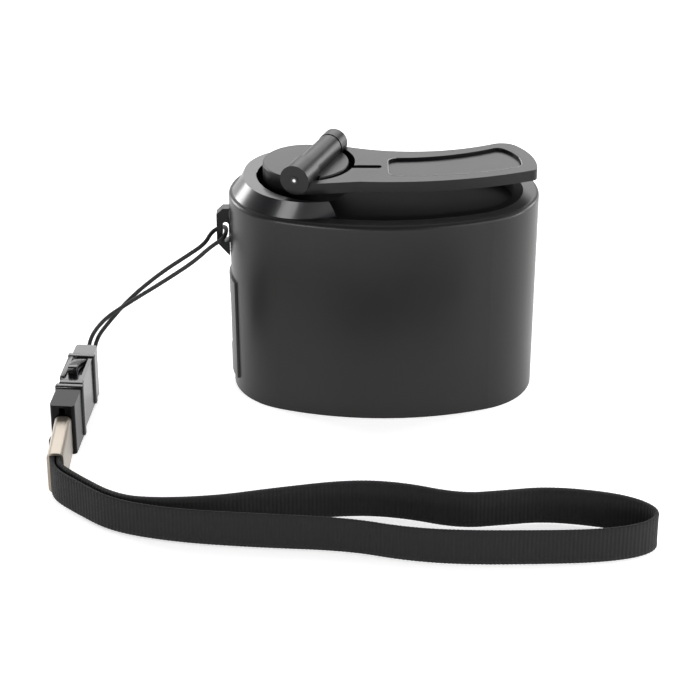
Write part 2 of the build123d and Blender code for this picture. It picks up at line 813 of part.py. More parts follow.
with BuildPart() as generator_screws:
    with BuildSketch(Plane.XY.offset(can_top - end_cap_thickness)):
        with Locations((generator.X, generator.Y)):
            with PolarLocations(can_screw_circle, 2, start_angle=90):
                Circle(can_screw_radius)
    extrude(amount=end_cap_thickness + plate_thickness)
    with BuildSketch(Plane.XY.offset(plate_top)):
        with Locations((generator.X, generator.Y)):
            with PolarLocations(can_screw_circle, 2, start_angle=90):
                Circle(2 * can_screw_radius)
    extrude(amount=can_screw_radius)
export(generator_screws, "generator_screws")

with BuildPart() as rotor_bushes:
    tube(
        generator,
        rotor_bush_radius,
        axle_radius + running_gap,
        can_floor,
        can_floor + end_cap_thickness,
    )
    tube(
        generator,
        rotor_bush_radius,
        axle_radius + running_gap,
        can_top - end_cap_thickness,
        can_top,
    )
export(rotor_bushes, "rotor_bushes")

stator_radius = can_radius - can_wall - touch_gap
stator_low = can_floor + can_wall
stator_high = stator_low + stator_length
pole_start = rotor_radius + stator_gap
yoke_inner = stator_radius - yoke_width
with BuildPart() as stator_core:
    tube(generator, stator_radius, yoke_inner, stator_low, stator_high)
    with BuildSketch(Plane.XY.offset(stator_low + coil_width)):
        with Locations((generator.X, generator.Y)):
            with PolarLocations((pole_start + stator_radius) / 2, pole_count):
                Rectangle(stator_radius - pole_start - yoke_width, pole_width)
            Circle(pole_start, mode=Mode.SUBTRACT)
    extrude(amount=stator_length - 2 * coil_width)
export(stator_core, "stator_core")

with BuildPart() as stator_coils:
    with BuildSketch(Plane.XY.offset(stator_low)):
        with Locations((generator.X, generator.Y)):
            with PolarLocations((pole_start + yoke_inner) / 2, pole_count):
                Rectangle(yoke_inner - pole_start - coil_gap, pole_width + 2 * coil_width)
            Circle(yoke_inner - touch_gap, mode=Mode.INTERSECT)
            Circle(pole_start + touch_gap, mode=Mode.SUBTRACT)
    extrude(amount=stator_length)
    with BuildSketch(Plane.XY.offset(stator_low + coil_width)):
        with Locations((generator.X, generator.Y)):
            with PolarLocations((pole_start + stator_radius) / 2, pole_count):
                Rectangle(stator_radius - pole_start, pole_width)
    extrude(amount=stator_length - 2 * coil_width, mode=Mode.SUBTRACT)
export(stator_coils, "stator_coils")

rotor_low = can_floor + end_cap_thickness + end_play
with BuildPart() as rotor_shaft:
    tube(generator, axle_radius, 0, can_floor + end_play, wheel_b_top + end_play)
export(rotor_shaft, "rotor_shaft")

with BuildPart() as rotor_magnet:
    tube(generator, rotor_radius, axle_radius, rotor_low, rotor_low + rotor_length)
export(rotor_magnet, "rotor_magnet")

rotor_turn = mesh_turn(rotor_teeth, wheel_b_teeth, 0, direction_to(axle_b, generator))
with BuildPart() as rotor_pinion:
    with BuildSketch(Plane.XY.offset(wheel_b_top - gear_width)):
        with Locations(Location((generator.X, generator.Y, 0), (0, 0, rotor_turn))):
            add(gear_face(rotor_teeth))
            Circle(axle_radius, mode=Mode.SUBTRACT)
    extrude(amount=gear_width)
export(rotor_pinion, "rotor_pinion")

# ---------------------------------------------------------------- charging port and board
with BuildPart() as port_panel:
    with BuildSketch(Plane.XY.offset(panel_low)):
        add(inset_oval(-panel_proud, lean_at(panel_low)))
    with BuildSketch(Plane.XY.offset(panel_high)):
        add(inset_oval(-panel_proud, lean_at(panel_high)))
    loft(ruled=True)
    with BuildSketch(Plane.XY.offset(panel_low)):
        add(inset_oval(0, lean_at(panel_low)))
    with BuildSketch(Plane.XY.offset(panel_high)):
        add(inset_oval(0, lean_at(panel_high)))
    loft(ruled=True, mode=Mode.SUBTRACT)
    with Locations((-base_half_width, 0, (panel_low + panel_high) / 2)):
        Box(base_half_width, 2 * panel_half_width, 2 * panel_high, mode=Mode.INTERSECT)
    with BuildSketch(Plane.YZ.offset(-base_half_width)):
        with Locations((0, port_height)):
            Rectangle(port_width + 2 * fit_gap, port_length + 2 * fit_gap)
        with Locations((0, lamp_height)):
            Circle(lamp_radius + fit_gap)
    extrude(amount=shell_wall, both=True, mode=Mode.SUBTRACT)
export(port_panel, "port_panel")

port_mouth_x = -(base_half_width + lean_at(port_height))
port_back_x = port_mouth_x + port_depth
with BuildPart() as usb_shell:
    with Locations(((port_mouth_x + port_back_x) / 2, 0, port_height)):
        Box(port_depth, port_width, port_length)
    with Locations(((port_mouth_x + port_back_x) / 2 - port_sheet, 0, port_height)):
        Box(port_depth, port_width - 2 * port_sheet, port_length - 2 * port_sheet, mode=Mode.SUBTRACT)
export(usb_shell, "usb_shell")

tongue_root_x = port_back_x - port_sheet
with BuildPart() as usb_tongue:
    with Locations((tongue_root_x - tongue_root / 2, 0, port_height)):
        Box(tongue_root, port_width - 2 * port_sheet, port_length - 2 * port_sheet)
    with Locations((tongue_root_x - tongue_root - tongue_length / 2, tongue_offset, port_height)):
        Box(tongue_length, tongue_thickness, tongue_width)
export(usb_tongue, "usb_tongue")

board_front_y = port_width / 2
board_back_y = board_front_y + board_thickness
board_reach = base_end_radius - shell_wall - board_end_gap
board_left = hub_x - sqrt(board_reach**2 - board_back_y**2)
with BuildPart() as circuit_board:
    with Locations(((board_left + board_right) / 2, board_front_y, cover_thickness)):
        Box(
            board_right - board_left,
            board_thickness,
            board_high - cover_thickness,
            align=(Align.CENTER, Align.MIN, Align.MIN),
        )
export(circuit_board, "circuit_board")

with BuildPart() as charge_lamp:
    with BuildSketch(Plane.YZ.offset(-(base_half_width + lean_at(lamp_height) + panel_proud))):
        with Locations((0, lamp_height)):
            Circle(lamp_radius)
    extrude(amount=shell_wall + panel_proud + 2 * lamp_radius)
    lamp_back_x = shell_wall + 2 * lamp_radius - base_half_width - lean_at(lamp_height)
    with Locations((lamp_back_x, -lamp_radius, lamp_height)):
        Box(
            2 * lamp_radius,
            lamp_radius + board_front_y,
            2 * lamp_radius,
            align=(Align.MIN, Align.MIN, Align.CENTER),
        )
export(charge_lamp, "charge_lamp")

with BuildPart() as capacitor:
    with Locations((capacitor_x, board_front_y, capacitor_height)):
        Cylinder(
            capacitor_radius,
            capacitor_length,
            rotation=(90, 0, 0),
            align=(Align.CENTER, Align.CENTER, Align.MIN),
        )
    fillet(capacitor.faces().sort_by(Axis.Y)[0].edges(), capacitor_rounding)
export(capacitor, "capacitor")

with BuildPart() as choke:
    with Locations((choke_x, board_front_y, choke_height)):
        Cylinder(
            choke_radius,
            choke_length,
            rotation=(90, 0, 0),
            align=(Align.CENTER, Align.CENTER, Align.MIN),
        )
    with Locations((choke_x, board_front_y - choke_length / 2, choke_height)):
        Cylinder(choke_radius, choke_length / 2, rotation=(90, 0, 0), mode=Mode.SUBTRACT)
        Cylinder(choke_core_radius, choke_length / 2, rotation=(90, 0, 0))
export(choke, "choke")

with BuildPart() as converter_chip:
    with Locations((capacitor_x, board_back_y, choke_height)):
        Box(chip_length, chip_thickness, chip_length, align=(Align.CENTER, Align.MIN, Align.CENTER))
export(converter_chip, "converter_chip")

terminal_start_x = generator.X - can_radius
terminal_corner_x = board_right - 2 * terminal_radius
with BuildPart() as generator_terminals:
    for height in (can_floor + 2 * terminal_radius, can_floor + terminal_spacing):
        with BuildLine() as bent_pin:
            FilletPolyline(
                (terminal_start_x, 0, height),
                (terminal_corner_x, 0, height),
                (terminal_corner_x, board_front_y, height),
                radius=2 * terminal_radius,
            )
        with BuildSketch(Plane(origin=bent_pin.line @ 0, z_dir=bent_pin.line % 0)):
            Circle(terminal_radius)
        sweep(path=bent_pin.line)
export(generator_terminals, "generator_terminals")


# ---------------------------------------------------------------- buckle
def buckle_point(ahead, across, up=0):
    return buckle_plane.from_local_coords(Vector(ahead, across, up))


with BuildPart() as buckle_socket:
    with BuildSketch(buckle_plane):
        with Locations((socket_length / 2, 0)):
            Rectangle(socket_length, socket_thickness)
    extrude(amount=buckle_width / 2, both=True)
    fillet(buckle_socket.edges().filter_by(Axis.Z), socket_rounding)
    with BuildSketch(buckle_plane):
        with Locations(((socket_end_wall + socket_length) / 2, 0)):
            Rectangle(socket_length - socket_end_wall, socket_thickness - 2 * socket_wall)
    extrude(amount=buckle_width / 2 - bridge_thickness, both=True, mode=Mode.SUBTRACT)
    with BuildSketch(buckle_plane):
        with Locations(((window_start + window_end) / 2, 0)):
            Rectangle(window_end - window_start, socket_thickness - 2 * socket_wall)
    extrude(amount=buckle_width / 2, both=True, mode=Mode.SUBTRACT)
export(buckle_socket, "buckle_socket")

plug_start = socket_length + plug_gap
plug_end = plug_start + plug_length
arm_root_x = plug_start + release_root_radius - release_root_inset
webbing_slot_shift = crimp_width / 2 - buckle_width / 2
with BuildPart() as buckle_plug:
    with BuildSketch(buckle_plane):
        with Locations(((plug_start + plug_end) / 2, 0)):
            Rectangle(plug_length, plug_thickness)
    extrude(amount=buckle_width / 2, both=True)
    fillet(buckle_plug.edges().filter_by(Axis.Z), socket_rounding)
    with BuildSketch(buckle_plane):
        with Locations(((window_start + plug_gap + plug_start) / 2, 0)):
            Rectangle(plug_start - window_start - plug_gap, release_arm_width)
    extrude(amount=plug_tongue_height / 2, both=True)
    with BuildSketch(buckle_plane):
        with Locations((plug_end - tab_reach / 2, 0)):
            Rectangle(tab_reach, webbing_thickness + 2 * fit_gap)
    extrude(amount=webbing_width / 2 + fit_gap + abs(webbing_slot_shift), both=True, mode=Mode.SUBTRACT)
    for side in (1, -1):
        with BuildSketch(Plane(buckle_plane.origin, x_dir=buckle_ahead, z_dir=buckle_across)):
            with Locations((arm_root_x, -side * release_root_height)):
                Circle(release_root_radius + running_gap)
            with Locations((arm_root_x - plug_gap, -side * release_root_height)):
                Rectangle(release_root_radius + plug_gap, 2 * (release_root_radius + running_gap))
        extrude(amount=release_arm_width / 2 + plug_gap / 2, both=True, mode=Mode.SUBTRACT)
export(buckle_plug, "buckle_plug")

arm_catch_x = window_end - plug_gap
arm_neck_high = buckle_width / 2 - bridge_thickness - plug_gap
arm_neck_low = arm_neck_high - release_arm_thickness
arm_tip_x = window_start + plug_gap
arm_front_high = release_catch_height - release_arm_thickness
for arm_name, side in (("release_arm_upper", 1), ("release_arm_lower", -1)):
    with BuildPart() as release_arm:
        with BuildSketch(Plane(buckle_plane.origin, x_dir=buckle_ahead, z_dir=buckle_across)):
            with Locations((arm_root_x, -side * release_root_height)):
                Circle(release_root_radius)
            with BuildLine():
                Polyline(
                    (arm_root_x, -side * arm_neck_low),
                    (arm_catch_x - release_arm_thickness, -side * arm_neck_low),
                    (arm_catch_x - 2 * release_arm_thickness, -side * arm_front_high),
                    (arm_tip_x, -side * (arm_front_high - release_arm_gap)),
                    (arm_tip_x, -side * arm_neck_high),
                    (arm_tip_x + release_arm_thickness, -side * release_catch_height),
                    (arm_catch_x, -side * release_catch_height),
                    (arm_catch_x, -side * arm_neck_high),
                    (arm_root_x, -side * arm_neck_high),
                    close=True,
                )
            make_face()
        extrude(amount=release_arm_width / 2, both=True)
    export(release_arm, arm_name)

with BuildPart() as webbing_tab:
    with BuildSketch(buckle_plane):
        with Locations(((plug_end - tab_reach + tab_end) / 2, 0)):
            Rectangle(tab_end - plug_end + tab_reach, webbing_thickness)
    extrude(amount=webbing_width / 2, both=True)
webbing_tab.part = webbing_tab.part.moved(Location((0, 0, webbing_slot_shift)))
export(webbing_tab, "webbing_tab")

# ---------------------------------------------------------------- crimp and wrist strap
crimp_thickness = 2 * webbing_thickness + webbing_ply_gap + 2 * crimp_wall + 3 * touch_gap
with BuildPart() as crimp:
    with BuildSketch(Plane.XZ.offset(-crimp_near_y)):
        with Locations((crimp_x, crimp_width / 2)):
            RectangleRounded(crimp_thickness, crimp_width, crimp_thickness / 3)
            RectangleRounded(
                crimp_thickness - 2 * crimp_wall,
                crimp_width - 2 * crimp_wall,
                2 * touch_gap,
                mode=Mode.SUBTRACT,
            )
    extrude(amount=-crimp_length)
export(crimp, "crimp")

ply_shift = (webbing_thickness + webbing_ply_gap) / 2
strap_low = crimp_wall + fit_gap
strap_route = (
    (crimp_x - ply_shift, crimp_near_y + ply_reach),
    (crimp_x - ply_shift, crimp_near_y + 2 * ply_reach / 3),
    (crimp_x - ply_shift, crimp_near_y + ply_reach / 3),
    (crimp_x - ply_shift, crimp_near_y),
    (crimp_x - ply_shift + ply_drift, crimp_near_y - ply_lead),
    (-66.6, -51.7),
    (-65.6, -53.8),
    (-61.6, -57.7),
    (-54.1, -63.9),
    (-41.8, -67.8),
    (-25.9, -69.9),
    (-7.6, -71.2),
    (3.6, -74.5),
    (15.0, -75.9),
    (40.0, -75.2),
    (49.4, -72.4),
    (51.8, -68.9),
    (49.8, -66.0),
    (45.3, -63.1),
    (31.7, -60.5),
    (22.9, -61.5),
    (14.4, -62.4),
    (2.9, -59.0),
    (-7.6, -58.0),
    (-21.9, -60.5),
    (-33.8, -63.5),
    (-45.8, -64.5),
    (-53.3, -62.9),
    (-60.8, -56.7),
    (-64.5, -53.2),
    (-65.45, -51.4),
    (crimp_x + ply_shift + ply_drift, crimp_near_y - ply_lead),
    (crimp_x + ply_shift, crimp_near_y),
    (crimp_x + ply_shift, crimp_near_y + ply_reach / 3),
    (crimp_x + ply_shift, crimp_near_y + 2 * ply_reach / 3),
    (crimp_x + ply_shift, crimp_near_y + ply_reach),
)
with BuildLine() as strap_middle:
    Spline(*strap_route)
strap_line = strap_middle.line


def beside_strap(shift):
    """Points along the webbing, moved sideways from its middle."""
    spots = []
    for step in range(strap_steps + 1):
        heading = strap_line % (step / strap_steps)
        spot = strap_line @ (step / strap_steps)
        spots.append(spot + Vector(-heading.Y, heading.X, 0) * shift)
    return spots


with BuildPart() as wrist_strap:
    with BuildSketch(Plane.XY.offset(strap_low)):
        with BuildLine():
            left_edge = Spline(*beside_strap(webbing_thickness / 2))
            right_edge = Spline(*beside_strap(-webbing_thickness / 2))
            Line(left_edge @ 0, right_edge @ 0)
            Line(left_edge @ 1, right_edge @ 1)
        make_face()
    extrude(amount=webbing_width)
export(wrist_strap, "wrist_strap")
strap_length = sum(edge.length for edge in strap_line.edges())
print("wrist strap", round(strap_length, 1), "mm of webbing", len(wrist_strap.part.solids()))

# ---------------------------------------------------------------- cord through the lug
cord_route = (
    buckle_point(0, -cord_pitch),
    buckle_point(-cord_lead, -cord_pitch),
    (-64.2, -0.8, 9.6),
    (-60.9, -1.4, 14.5),
    (-56.3, -2.0, 18.2),
    (-47.5, -2.6, 24.3),
    (-40.6, -2.9, 29.3),
    (-36.8, -3.1, 33.1),
    (lug_eye_x, -2.8, 35.0),
    (lug_eye_x, 2.8, 35.4),
    (-36.8, 2.4, 34.2),
    (-38.2, -0.6, 32.5),
    (-42.1, -1.1, 29.9),
    (-48.0, -1.2, 25.8),
    (-54.6, -0.8, 19.85),
    (-59.2, -0.3, 14.2),
    (-62.9, -0.4, 9.25),
    buckle_point(-cord_lead, cord_pitch),
    buckle_point(0, cord_pitch),
)
cord_radii = [min(radius, cord_bend_limit) for radius in runs_and_radii(cord_route)]
with BuildPart() as strap_cord:
    with BuildLine() as cord_line:
        FilletPolyline(*cord_route, radius=cord_radii)
    with BuildSketch(Plane(origin=cord_line.line @ 0, z_dir=cord_line.line % 0)):
        Circle(cord_radius)
    sweep(path=cord_line.line)
export(strap_cord, "strap_cord")
cord_length = sum(edge.length for edge in cord_line.line.edges())
print("cord", round(cord_length, 1), "mm, radii", [round(radius, 2) for radius in cord_radii])
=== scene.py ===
import json
from math import cos, pi, radians, sin

import bpy
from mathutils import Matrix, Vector


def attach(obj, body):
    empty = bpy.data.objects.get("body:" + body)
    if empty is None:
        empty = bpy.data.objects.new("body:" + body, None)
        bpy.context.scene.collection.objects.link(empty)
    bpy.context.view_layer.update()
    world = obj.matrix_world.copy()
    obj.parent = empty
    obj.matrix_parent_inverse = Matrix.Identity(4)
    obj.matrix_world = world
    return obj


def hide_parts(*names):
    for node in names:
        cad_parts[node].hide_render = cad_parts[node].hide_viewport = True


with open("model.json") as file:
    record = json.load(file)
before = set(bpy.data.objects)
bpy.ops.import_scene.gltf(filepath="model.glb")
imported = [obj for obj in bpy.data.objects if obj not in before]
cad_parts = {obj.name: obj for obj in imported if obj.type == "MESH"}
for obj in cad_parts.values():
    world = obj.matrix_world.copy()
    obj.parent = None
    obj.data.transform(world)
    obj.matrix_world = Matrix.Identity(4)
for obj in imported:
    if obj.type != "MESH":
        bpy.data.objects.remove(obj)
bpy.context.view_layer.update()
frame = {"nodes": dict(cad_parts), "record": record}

nodes = frame["nodes"]
scene = bpy.context.scene
MM = 0.001

# Camera place, aim and lens, in metres and millimetres of film.
CAMERA_PLACE = (-0.00717, -0.4554, 0.24955)
CAMERA_AIM = (-0.00717, 0.01195, 0)
CAMERA_LENS = 120.86
CAMERA_FILM = 36

# Crank: the hub's axis, the hinge across it and the sunken thumb pad, in millimetres.
HUB_X = -16.5
HINGE_TURN = radians(-21.8)
HINGE_OFFSET = 2.5
HINGE_HEIGHT = 52.4
PIN_RADIUS = 0.8
PAD_DEPTH = 0.6
# The painted highlight along the pad's edge: how far it reaches behind the pad's middle, its radius and its
# sink below the arm's top.
PAD_HIGHLIGHT_REACH = 2.2
PAD_HIGHLIGHT_RADIUS = 0.1
PAD_HIGHLIGHT_SINK = 0.03
LEVEL_TOLERANCE = 0.02

# Lanyard: the cord, and the buckle's far end and its turn from the -Y direction.
CORD_RADIUS = 0.45
CORD_HALF_PITCH = 0.65
CORD_LEAD = 3.2
BUCKLE_PLACE = Vector((-64.0, -7.0, 5.7))
BUCKLE_TURN = radians(5.5)

# Webbing: section, ribs across it, and the lift of both ends into the crimp.
TAPE_HALF_HEIGHT = 4.0
TAPE_HALF_THICK = 0.5
TAPE_STEP = 0.16
TAPE_FLOOR_GAP = 0.05
RIB_PITCH = 0.8
RIB_DEPTH = 0.05
RIB_INSET = 0.06
EDGE_WAVE = 0.10
EDGE_WAVE_RUN = 7.3
SELVEDGE_FROM = 0.8
FACE_SHARE = 0.86
MAP_LENGTH = 10
END_LIFT = 0.65
END_LIFT_FROM = 10
END_LIFT_RUN = 22
WAVE_FROM = 14
WAVE_RUN = 10

# Floor and sky.
FLOOR_SIZE = 6
FLOOR_DROP = 0.00005
FLOOR_GLOW = 0.55
SKY_FRONT = 0.14
SKY_BACK = 0.68
SKY_FADE = 0.35


# ---------------------------------------------------------------- camera
camera_data = bpy.data.cameras.new("camera")
camera = bpy.data.objects.new("camera", camera_data)
scene.collection.objects.link(camera)
camera.location = CAMERA_PLACE
camera.rotation_euler = (Vector(CAMERA_AIM) - camera.location).to_track_quat("-Z", "Y").to_euler()
camera_data.lens = CAMERA_LENS
camera_data.sensor_width = CAMERA_FILM
scene.camera = camera
scene.view_settings.view_transform = "Standard"


# ---------------------------------------------------------------- materials
def material(name):
    """A new material with one principled shader."""
    made = bpy.data.materials.new(name)
    made.use_nodes = True
    tree = made.node_tree
    tree.nodes.clear()
    output = tree.nodes.new("ShaderNodeOutputMaterial")
    shader = tree.nodes.new("ShaderNodeBsdfPrincipled")
    tree.links.new(shader.outputs["BSDF"], output.inputs["Surface"])
    return made, tree, shader


def coordinates(tree, kind="Object", scale=(1, 1, 1)):
    """The surface's own coordinates, stretched by a scale."""
    source = tree.nodes.new("ShaderNodeTexCoord")
    mapping = tree.nodes.new("ShaderNodeMapping")
    mapping.inputs["Scale"].default_value = scale
    tree.links.new(source.outputs[kind], mapping.inputs["Vector"])
    return mapping.outputs["Vector"]


def noise(tree, where, scale, detail=4.0, roughness=0.55):
    """Plain noise at one scale, from 0 to 1."""
    made = tree.nodes.new("ShaderNodeTexNoise")
    made.inputs["Scale"].default_value = scale
    made.inputs["Detail"].default_value = detail
    made.inputs["Roughness"].default_value = roughness
    tree.links.new(where, made.inputs["Vector"])
    return made.outputs["Fac"]


def ramp(tree, value, stops):
    """Colours at given places of a value."""
    made = tree.nodes.new("ShaderNodeValToRGB")
    band = made.color_ramp
    band.elements[0].position = stops[0][0]
    band.elements[0].color = (*stops[0][1], 1)
    band.elements[1].position = stops[-1][0]
    band.elements[1].color = (*stops[-1][1], 1)
    for place, colour in stops[1:-1]:
        band.elements.new(place).color = (*colour, 1)
    tree.links.new(value, made.inputs["Fac"])
    return made.outputs["Color"]


def span(tree, value, low, high):
    """A value from 0 to 1, laid between two others."""
    made = tree.nodes.new("ShaderNodeMapRange")
    made.inputs["To Min"].default_value = low
    made.inputs["To Max"].default_value = high
    tree.links.new(value, made.inputs["Value"])
    return made.outputs["Result"]


def bump(tree, shader, height, strength, distance):
    """Fine relief on the shader's normal, with its depth in metres."""
    made = tree.nodes.new("ShaderNodeBump")
    made.inputs["Strength"].default_value = strength
    made.inputs["Distance"].default_value = distance
    tree.links.new(height, made.inputs["Height"])
    tree.links.new(made.outputs["Normal"], shader.inputs["Normal"])


GRAIN_DEPTH = 0.00004
TONE_SCALE = 45


def moulded(
    name, colour, rough, grain=0.12, coat=0.0, shine=0.5, metal=0.0, scale=900, stretch=(1, 1, 1)
):
    """A moulded or machined surface: fine grain, slow changes of tone and of gloss."""
    made, tree, shader = material(name)
    where = coordinates(tree, scale=stretch)
    slow = noise(tree, where, TONE_SCALE, 3)
    fine = noise(tree, where, scale, 3)
    darker = [value * 0.86 for value in colour]
    lighter = [min(1, value * 1.12) for value in colour]
    tree.links.new(ramp(tree, slow, [(0.3, darker), (0.7, lighter)]), shader.inputs["Base Color"])
    tree.links.new(span(tree, slow, rough * 0.88, min(1, rough * 1.12)), shader.inputs["Roughness"])
    shader.inputs["Metallic"].default_value = metal
    shader.inputs["Specular IOR Level"].default_value = shine
    shader.inputs["Coat Weight"].default_value = coat
    shader.inputs["Coat Roughness"].default_value = 0.12
    bump(tree, shader, fine, grain, GRAIN_DEPTH)
    return made


def bands(tree, where, direction, scale, distortion):
    """Parallel bands across one direction."""
    made = tree.nodes.new("ShaderNodeTexWave")
    made.wave_type = "BANDS"
    made.bands_direction = direction
    made.inputs["Scale"].default_value = scale
    made.inputs["Distortion"].default_value = distortion
    tree.links.new(where, made.inputs["Vector"])
    return made


def woven(name, colour, pitch, across):
    """Black webbing: ribs across the tape, threads along it, read from the tape's own map."""
    made, tree, shader = material(name)
    where = coordinates(tree, "UV")
    ribs = bands(tree, where, "X", pitch, 0.8)
    ribs.inputs["Detail"].default_value = 1.5
    threads = bands(tree, where, "Y", across, 0.5)
    mixed = tree.nodes.new("ShaderNodeMath")
    mixed.operation = "MULTIPLY_ADD"
    mixed.inputs[1].default_value = 0.35
    tree.links.new(threads.outputs["Fac"], mixed.inputs[0])
    tree.links.new(ribs.outputs["Fac"], mixed.inputs[2])
    darker = [value * 0.55 for value in colour]
    lighter = [value * 1.5 for value in colour]
    tone = ramp(tree, mixed.outputs["Value"], [(0.1, darker), (1.0, lighter)])
    tree.links.new(tone, shader.inputs["Base Color"])
    shader.inputs["Roughness"].default_value = 0.82
    shader.inputs["Specular IOR Level"].default_value = 0.22
    shader.inputs["Sheen Weight"].default_value = 0.10
    shader.inputs["Sheen Roughness"].default_value = 0.4
    bump(tree, shader, mixed.outputs["Value"], 0.5, 0.00012)
    return made


LOOKS = {
    "housing_black": moulded("shell plastic", (0.0105, 0.0096, 0.0096), 0.35, 0.10, shine=0.33),
    "cover_black": moulded("cover plastic", (0.020, 0.020, 0.021), 0.55, 0.3, scale=600),
    # The cap is darker and duller than the shell: black plastic with painted shade of the arm over the
    # sunken pan, which also darkens the cap's rim.
    "cap_black": moulded("cap plastic painted shade", (0.004, 0.004, 0.0045), 0.7, 0.12, shine=0.06),
    "collar_black": moulded("collar plastic", (0.006, 0.006, 0.0075), 0.30, 0.05, coat=0.12, shine=0.36),
    "crank_grey": moulded("crank plastic", (0.0065, 0.006, 0.007), 0.34, 0.25, shine=0.30, scale=1400),
    "screw_steel": moulded("screw steel", (0.55, 0.55, 0.56), 0.30, 0.1, metal=1.0),
    "shaft_steel": moulded("shaft steel", (0.62, 0.62, 0.63), 0.22, 0.15, metal=1.0, stretch=(1, 1, 0.1)),
    "bush_brass": moulded("bush brass", (0.66, 0.46, 0.19), 0.3, 0.1, metal=1.0),
    "gear_plastic": moulded("gear plastic", (0.74, 0.72, 0.66), 0.42, 0.1),
    "plate_steel": moulded("plate steel", (0.56, 0.57, 0.58), 0.32, 0.2, metal=1.0, stretch=(0.1, 1, 1)),
    "washer_rubber": moulded("washer rubber", (0.02, 0.02, 0.02), 0.8, 0.4, scale=500),
    "can_steel": moulded("can steel", (0.52, 0.52, 0.54), 0.34, 0.15, metal=1.0, stretch=(1, 1, 0.1)),
    "core_iron": moulded("core laminations", (0.16, 0.16, 0.17), 0.5, 0.6, metal=0.8, stretch=(0.1, 0.1, 4)),
    "coil_copper": moulded("coil copper", (0.62, 0.24, 0.09), 0.34, 0.8, metal=0.9, stretch=(0.2, 0.2, 4)),
    "magnet_grey": moulded("magnet ferrite", (0.035, 0.035, 0.038), 0.6, 0.4, scale=500),
    "socket_steel": moulded("socket steel", (0.66, 0.66, 0.68), 0.24, 0.1, metal=1.0),
    "tongue_plastic": moulded("tongue plastic", (0.02, 0.02, 0.02), 0.5, 0.2),
    "lamp_clear": moulded("lamp plastic", (0.55, 0.10, 0.07), 0.15, 0.02, coat=0.3),
    "board_green": moulded("board lacquer", (0.02, 0.11, 0.05), 0.35, 0.2),
    "component_dark": moulded("component plastic", (0.03, 0.03, 0.035), 0.45, 0.2),
    "buckle_black": moulded("buckle plastic", (0.006, 0.006, 0.007), 0.18, 0.08, shine=0.5),
    "crimp_nickel": moulded("crimp metal", (0.34, 0.30, 0.25), 0.36, 0.6, metal=0.8, scale=160),
    "cord_black": moulded("cord thread", (0.010, 0.010, 0.011), 0.7, 0.7, scale=2600),
    "webbing_black": woven("webbing", (0.019, 0.0185, 0.019), 60, 9),
}


def pin_end():
    """Dark steel with a small bright centre on the hinge pin's own axis."""
    made, tree, shader = material("hinge pin steel")
    parts = tree.nodes.new("ShaderNodeSeparateXYZ")
    tree.links.new(coordinates(tree), parts.inputs["Vector"])
    across = tree.nodes.new("ShaderNodeMath")
    across.operation = "MULTIPLY_ADD"
    across.inputs[1].default_value = cos(HINGE_TURN)
    across.inputs[2].default_value = (-HUB_X * cos(HINGE_TURN) - HINGE_OFFSET) * MM
    tree.links.new(parts.outputs["X"], across.inputs[0])
    side = tree.nodes.new("ShaderNodeMath")
    side.operation = "MULTIPLY_ADD"
    side.inputs[1].default_value = sin(HINGE_TURN)
    tree.links.new(parts.outputs["Y"], side.inputs[0])
    tree.links.new(across.outputs["Value"], side.inputs[2])
    up = tree.nodes.new("ShaderNodeMath")
    up.operation = "SUBTRACT"
    up.inputs[1].default_value = HINGE_HEIGHT * MM
    tree.links.new(parts.outputs["Z"], up.inputs[0])
    both = tree.nodes.new("ShaderNodeCombineXYZ")
    tree.links.new(side.outputs["Value"], both.inputs["X"])
    tree.links.new(up.outputs["Value"], both.inputs["Y"])
    away = tree.nodes.new("ShaderNodeVectorMath")
    away.operation = "LENGTH"
    tree.links.new(both.outputs["Vector"], away.inputs[0])
    share = tree.nodes.new("ShaderNodeMath")
    share.operation = "DIVIDE"
    share.inputs[1].default_value = PIN_RADIUS * MM
    tree.links.new(away.outputs["Value"], share.inputs[0])
    stops = [(0.35, (0.75, 0.74, 0.73)), (0.5, (0.05, 0.05, 0.05)), (0.9, (0.03, 0.03, 0.03))]
    tree.links.new(ramp(tree, share.outputs["Value"], stops), shader.inputs["Base Color"])
    shader.inputs["Metallic"].default_value = 0.7
    shader.inputs["Roughness"].default_value = 0.35
    return made


LOOKS["hinge_pin"] = pin_end()
# The plug is a darker, duller copy of the buckle plastic: painted shade for the plug's top, which lies
# darker than the socket's.
LOOKS["buckle_plug"] = moulded("plug plastic painted shade", (0.004, 0.004, 0.0045), 0.22, 0.08, shine=0.10)
# The lug is a darker copy of the shell plastic: painted shade for the lug, which sits dark inside the
# knotted cord.
LOOKS["strap_lug"] = moulded("lug plastic", (0.006, 0.006, 0.0065), 0.3, 0.1, shine=0.25)
slot_of = {entry["node"]: entry["material_slot"] for entry in frame["record"]["subparts"]}
for name, node in nodes.items():
    node.data.materials.clear()
    node.data.materials.append(LOOKS.get(name, LOOKS[slot_of[name]]))


# ---------------------------------------------------------------- the cord
def route_curve(name, points):
    """One open NURBS spline with the route's points as its control points."""
    curve = bpy.data.curves.new(name, "CURVE")
    curve.dimensions = "3D"
    line = curve.splines.new("NURBS")
    line.points.add(len(points) - 1)
    for point, place in zip(line.points, points):
        point.co = (place[0] * MM, place[1] * MM, place[2] * MM, 1)
    line.order_u = 3
    line.use_endpoint_u = True
    line.resolution_u = 16
    made = bpy.data.objects.new(name, curve)
    scene.collection.objects.link(made)
    return made


buckle_ahead = Vector((-sin(BUCKLE_TURN), -cos(BUCKLE_TURN), 0))
buckle_across = Vector((cos(BUCKLE_TURN), -sin(BUCKLE_TURN), 0))


def buckle_point(ahead, across, up=0):
    """A point given in the buckle's own directions from its far end, in millimetres."""
    return BUCKLE_PLACE + buckle_ahead * ahead + buckle_across * across + Vector((0, 0, up))


